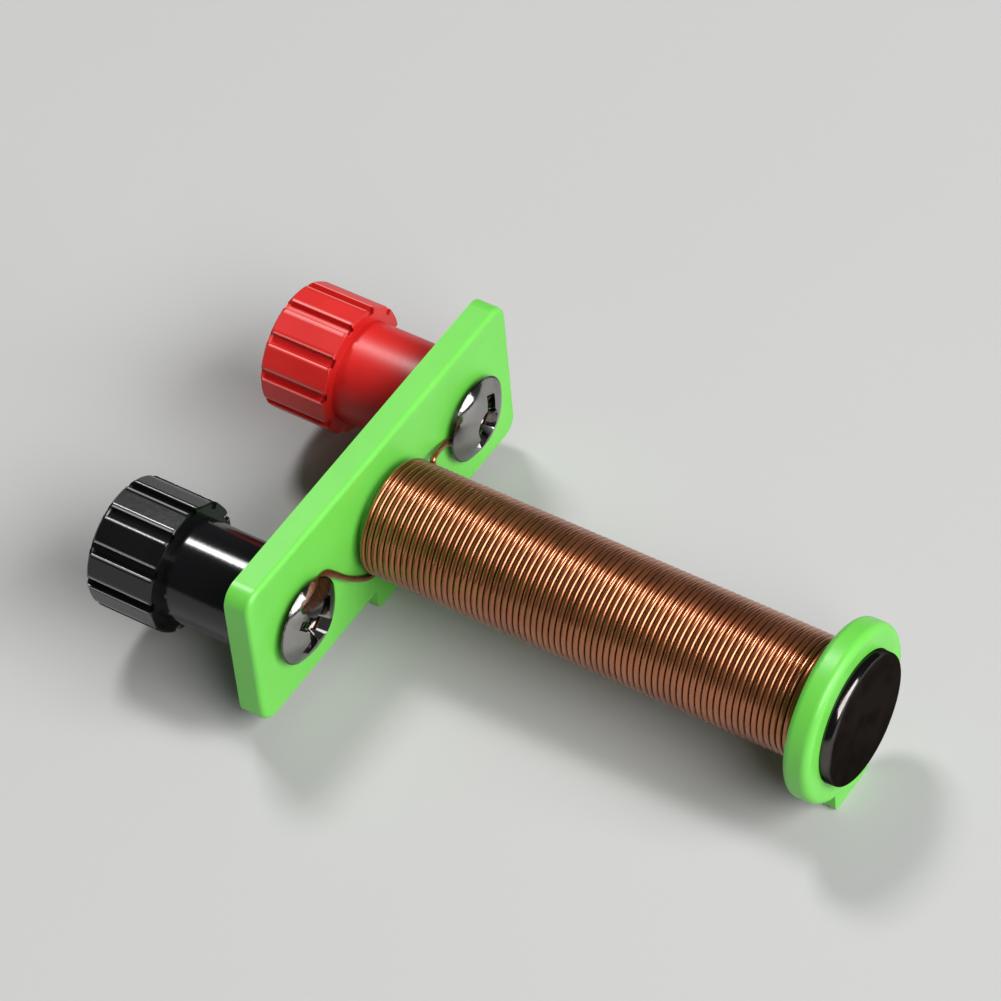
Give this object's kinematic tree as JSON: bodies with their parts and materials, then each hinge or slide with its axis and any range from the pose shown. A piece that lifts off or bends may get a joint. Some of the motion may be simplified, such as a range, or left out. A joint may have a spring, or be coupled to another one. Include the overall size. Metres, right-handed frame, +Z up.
{
  "type": "laboratory electromagnet",
  "caption": "Teaching electromagnet: wire wound on a green bobbin with a headed iron core, a terminal plate with screw posts and red and black ribbed thumb nuts.",
  "frame": {"origin": "bottom centre of the whole part, on the table between the two feet", "axes": "+Z up from the feet, +Y along the coil's axis from the pole face to the thumb nuts, +X along the terminal plate towards the red thumb nut"},
  "size_m": [0.04, 0.0658, 0.0181],
  "materials": {
    "green_plastic": "moulded, softly glossy bright green",
    "plated_iron": "polished soft iron with a dark plating",
    "enamelled_copper": "copper wire under clear brown enamel",
    "plated_steel": "bright nickel-plated steel",
    "black_plastic": "glossy black",
    "red_plastic": "glossy red",
    "insert_brass": "turned brass"
  },
  "bodies": {
    "magnet": {"bobbin": "green_plastic", "iron_core": "plated_iron", "inner_winding": "enamelled_copper", "outer_winding": "enamelled_copper", "left_lead": "enamelled_copper", "right_lead": "enamelled_copper", "left_terminal_screw": "plated_steel", "right_terminal_screw": "plated_steel"},
    "black_insert": {"black_nut_insert": "insert_brass"},
    "black_nut": {"black_thumb_nut": "black_plastic"},
    "red_insert": {"red_nut_insert": "insert_brass"},
    "red_nut": {"red_thumb_nut": "red_plastic"}
  },
  "joints": [
    {"name": "black_nut_travel", "type": "slide", "parent": "magnet", "child": "black_insert", "axis": [0, 1, 0], "range_m": [0, 0.0042]},
    {"name": "black_nut_turn", "type": "hinge", "parent": "black_insert", "child": "black_nut", "pos_m": [-0.01325, 0.01705, 0.0096], "axis": [0, 1, 0], "range_deg": [0, 2160]},
    {"name": "red_nut_travel", "type": "slide", "parent": "magnet", "child": "red_insert", "axis": [0, 1, 0], "range_m": [0, 0.0042]},
    {"name": "red_nut_turn", "type": "hinge", "parent": "red_insert", "child": "red_nut", "pos_m": [0.01325, 0.01705, 0.0096], "axis": [0, 1, 0], "range_deg": [0, 2160]}
  ],
  "couplings": [
    {"joint": "black_nut_turn", "follows": "black_nut_travel", "rad_per_m": 8975.9},
    {"joint": "red_nut_turn", "follows": "red_nut_travel", "rad_per_m": 8975.9}
  ]
}
